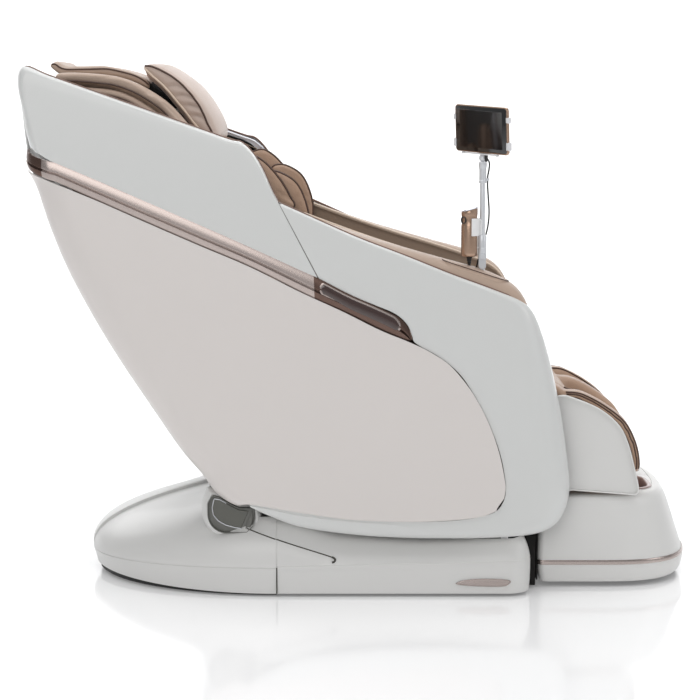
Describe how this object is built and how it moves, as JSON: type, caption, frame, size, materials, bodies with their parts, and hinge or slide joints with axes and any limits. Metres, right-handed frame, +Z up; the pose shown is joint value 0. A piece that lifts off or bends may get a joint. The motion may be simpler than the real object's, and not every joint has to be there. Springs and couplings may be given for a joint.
{
  "type": "massage chair",
  "caption": "Reclining massage chair with moulded side covers, a tilting seat pod, lifting leg rest, rolling back massage carriage, head pillow, tablet arm and handset.",
  "frame": {"origin": "on the floor, at the middle of the chair's length and width", "axes": "+X the way the chair faces, +Y the sitter's left, +Z up"},
  "size_m": [1.6851, 0.8692, 1.2982],
  "materials": {
    "black_steel": "satin black paint",
    "foot_rubber": "plain rubber",
    "pearl_white": "pearl white lacquer over moulded plastic",
    "warm_ivory": "warm ivory lacquer over moulded plastic",
    "rose_bronze": "rose bronze metallic",
    "emblem_gloss": "dark bronze gloss",
    "pocket_gloss": "dark grey gloss",
    "zinc_steel": "zinc plated",
    "motor_paint": "dark grey paint",
    "bright_steel": "ground shaft",
    "black_plastic": "fine texture",
    "wheel_rubber": "moulded rubber",
    "tan_leather": "soft taupe artificial leather",
    "brown_leather": "dark brown artificial leather",
    "speaker_chrome": "silver rim",
    "grey_plastic": "moulded nylon",
    "post_silver": "bead blasted",
    "tablet_bronze": "bronze anodised look",
    "tablet_glass": "black cover glass",
    "cable_black": "black cable sheath"
  },
  "bodies": {
    "base": {"base_plate": "black_steel", "base_feet": "foot_rubber", "base_rear_cover": "pearl_white", "base_front_skirt": "pearl_white", "base_accents": "rose_bronze", "pivot_pocket_covers": "pocket_gloss", "slide_rails": "zinc_steel", "slide_motor": "motor_paint", "lead_screw": "bright_steel", "power_box": "black_plastic", "power_inlet": "black_plastic", "wheel_mounts": "zinc_steel"},
    "power_switch": {"power_rocker": "black_plastic"},
    "wheel_left": {"transport_wheel_left": "wheel_rubber"},
    "wheel_right": {"transport_wheel_right": "wheel_rubber"},
    "carriage": {"carriage_frame": "zinc_steel"},
    "legrest": {"calf_frame": "zinc_steel", "calf_shells": "pearl_white", "calf_pads": "tan_leather"},
    "foot": {"foot_shell": "pearl_white", "foot_band": "rose_bronze", "foot_liner": "brown_leather"},
    "sole_roller": {"sole_rollers": "grey_plastic"},
    "massage_carriage": {"massage_carriage": "grey_plastic", "massage_motors": "motor_paint"},
    "knead_left": {"knead_arm_left": "grey_plastic"},
    "knead_right": {"knead_arm_right": "grey_plastic"},
    "pillow": {"pillow": "tan_leather"},
    "tablet_arm": {"post_upper": "post_silver", "tablet_lead_high": "cable_black"},
    "tablet": {"tablet_case": "tablet_bronze", "tablet_glass": "tablet_glass"},
    "handset": {"handset_body": "tablet_bronze", "handset_cable": "cable_black"},
    "pod": {"pivot_shaft": "bright_steel", "seat_frame": "zinc_steel", "back_frame": "zinc_steel", "under_pan": "black_plastic", "back_cover": "pearl_white", "wing_left": "pearl_white", "wing_right": "pearl_white", "arm_shell_left": "pearl_white", "arm_shell_right": "pearl_white", "side_panel_left": "warm_ivory", "side_panel_right": "warm_ivory", "trims": "rose_bronze", "emblem_plates": "emblem_gloss", "arm_deck_left": "rose_bronze", "arm_deck_right": "rose_bronze", "arm_walls": "brown_leather", "console_tray": "black_plastic", "seat_cushion": "tan_leather", "back_cushion": "tan_leather", "head_flap": "tan_leather", "wing_liners": "brown_leather", "shoulder_pads": "tan_leather", "speakers": "speaker_chrome", "air_pump": "motor_paint", "post_lower": "post_silver", "tablet_lead_low": "cable_black"}
  },
  "joints": [
    {"name": "pod_slide", "type": "slide", "parent": "base", "child": "carriage", "axis": [1, 0, 0], "range_m": [0, 0.12]},
    {"name": "pod_tilt", "type": "hinge", "parent": "carriage", "child": "pod", "pos_m": [-0.34, 0, 0.225], "axis": [0, -1, 0], "range_deg": [0, 24]},
    {"name": "legrest_lift", "type": "hinge", "parent": "pod", "child": "legrest", "pos_m": [0.46, 0, 0.44], "axis": [0, -1, 0], "range_deg": [0, 80]},
    {"name": "foot_extend", "type": "slide", "parent": "legrest", "child": "foot", "axis": [0, 0, -1], "range_m": [0, 0.121]},
    {"name": "sole_roller_spin", "type": "hinge", "parent": "foot", "child": "sole_roller", "pos_m": [0.64, 0, 0.072], "axis": [0, 1, 0], "continuous": true},
    {"name": "massage_travel", "type": "slide", "parent": "pod", "child": "massage_carriage", "axis": [-0.3584, 0, 0.9336], "range_m": [0, 0.42]},
    {"name": "knead_left_swing", "type": "hinge", "parent": "massage_carriage", "child": "knead_left", "pos_m": [-0.28473, 0, 0.56056], "axis": [0, 1, 0], "range_deg": [-10, 10]},
    {"name": "knead_right_swing", "type": "hinge", "parent": "massage_carriage", "child": "knead_right", "pos_m": [-0.28473, 0, 0.56056], "axis": [0, 1, 0], "range_deg": [-10, 10]},
    {"name": "pillow_lift", "type": "hinge", "parent": "pod", "child": "pillow", "pos_m": [-0.535, 0, 1.288], "axis": [0, -1, 0], "range_deg": [0, 90]},
    {"name": "tablet_swivel", "type": "hinge", "parent": "pod", "child": "tablet_arm", "pos_m": [0.299, -0.352, 1.006], "axis": [0, 0, 1], "range_deg": [-100, 60], "deforming": ["tablet_lead_low"]},
    {"name": "tablet_tilt", "type": "hinge", "parent": "tablet_arm", "child": "tablet", "pos_m": [0.299, -0.352, 1.067], "axis": [-0.6428, 0.766, 0], "range_deg": [-14, 20], "deforming": ["tablet_lead_high"]},
    {"name": "handset_lift", "type": "slide", "parent": "pod", "child": "handset", "axis": [0, 0, 1], "range_m": [0, 0.06]},
    {"name": "power_switch_rock", "type": "hinge", "parent": "base", "child": "power_switch", "pos_m": [-0.645, 0, 0.031], "axis": [0, 1, 0], "range_deg": [-12, 0]},
    {"name": "wheel_left_spin", "type": "hinge", "parent": "base", "child": "wheel_left", "pos_m": [-0.47, 0.19, 0.033], "axis": [0, 1, 0], "continuous": true},
    {"name": "wheel_right_spin", "type": "hinge", "parent": "base", "child": "wheel_right", "pos_m": [-0.47, -0.19, 0.033], "axis": [0, 1, 0], "continuous": true}
  ],
  "couplings": [
    {"joint": "pod_tilt", "follows": "pod_slide", "rad_per_m": 3.4892},
    {"joint": "foot_extend", "follows": "legrest_lift", "m_per_rad": 0.086},
    {"joint": "knead_right_swing", "follows": "knead_left_swing", "ratio": -1}
  ]
}
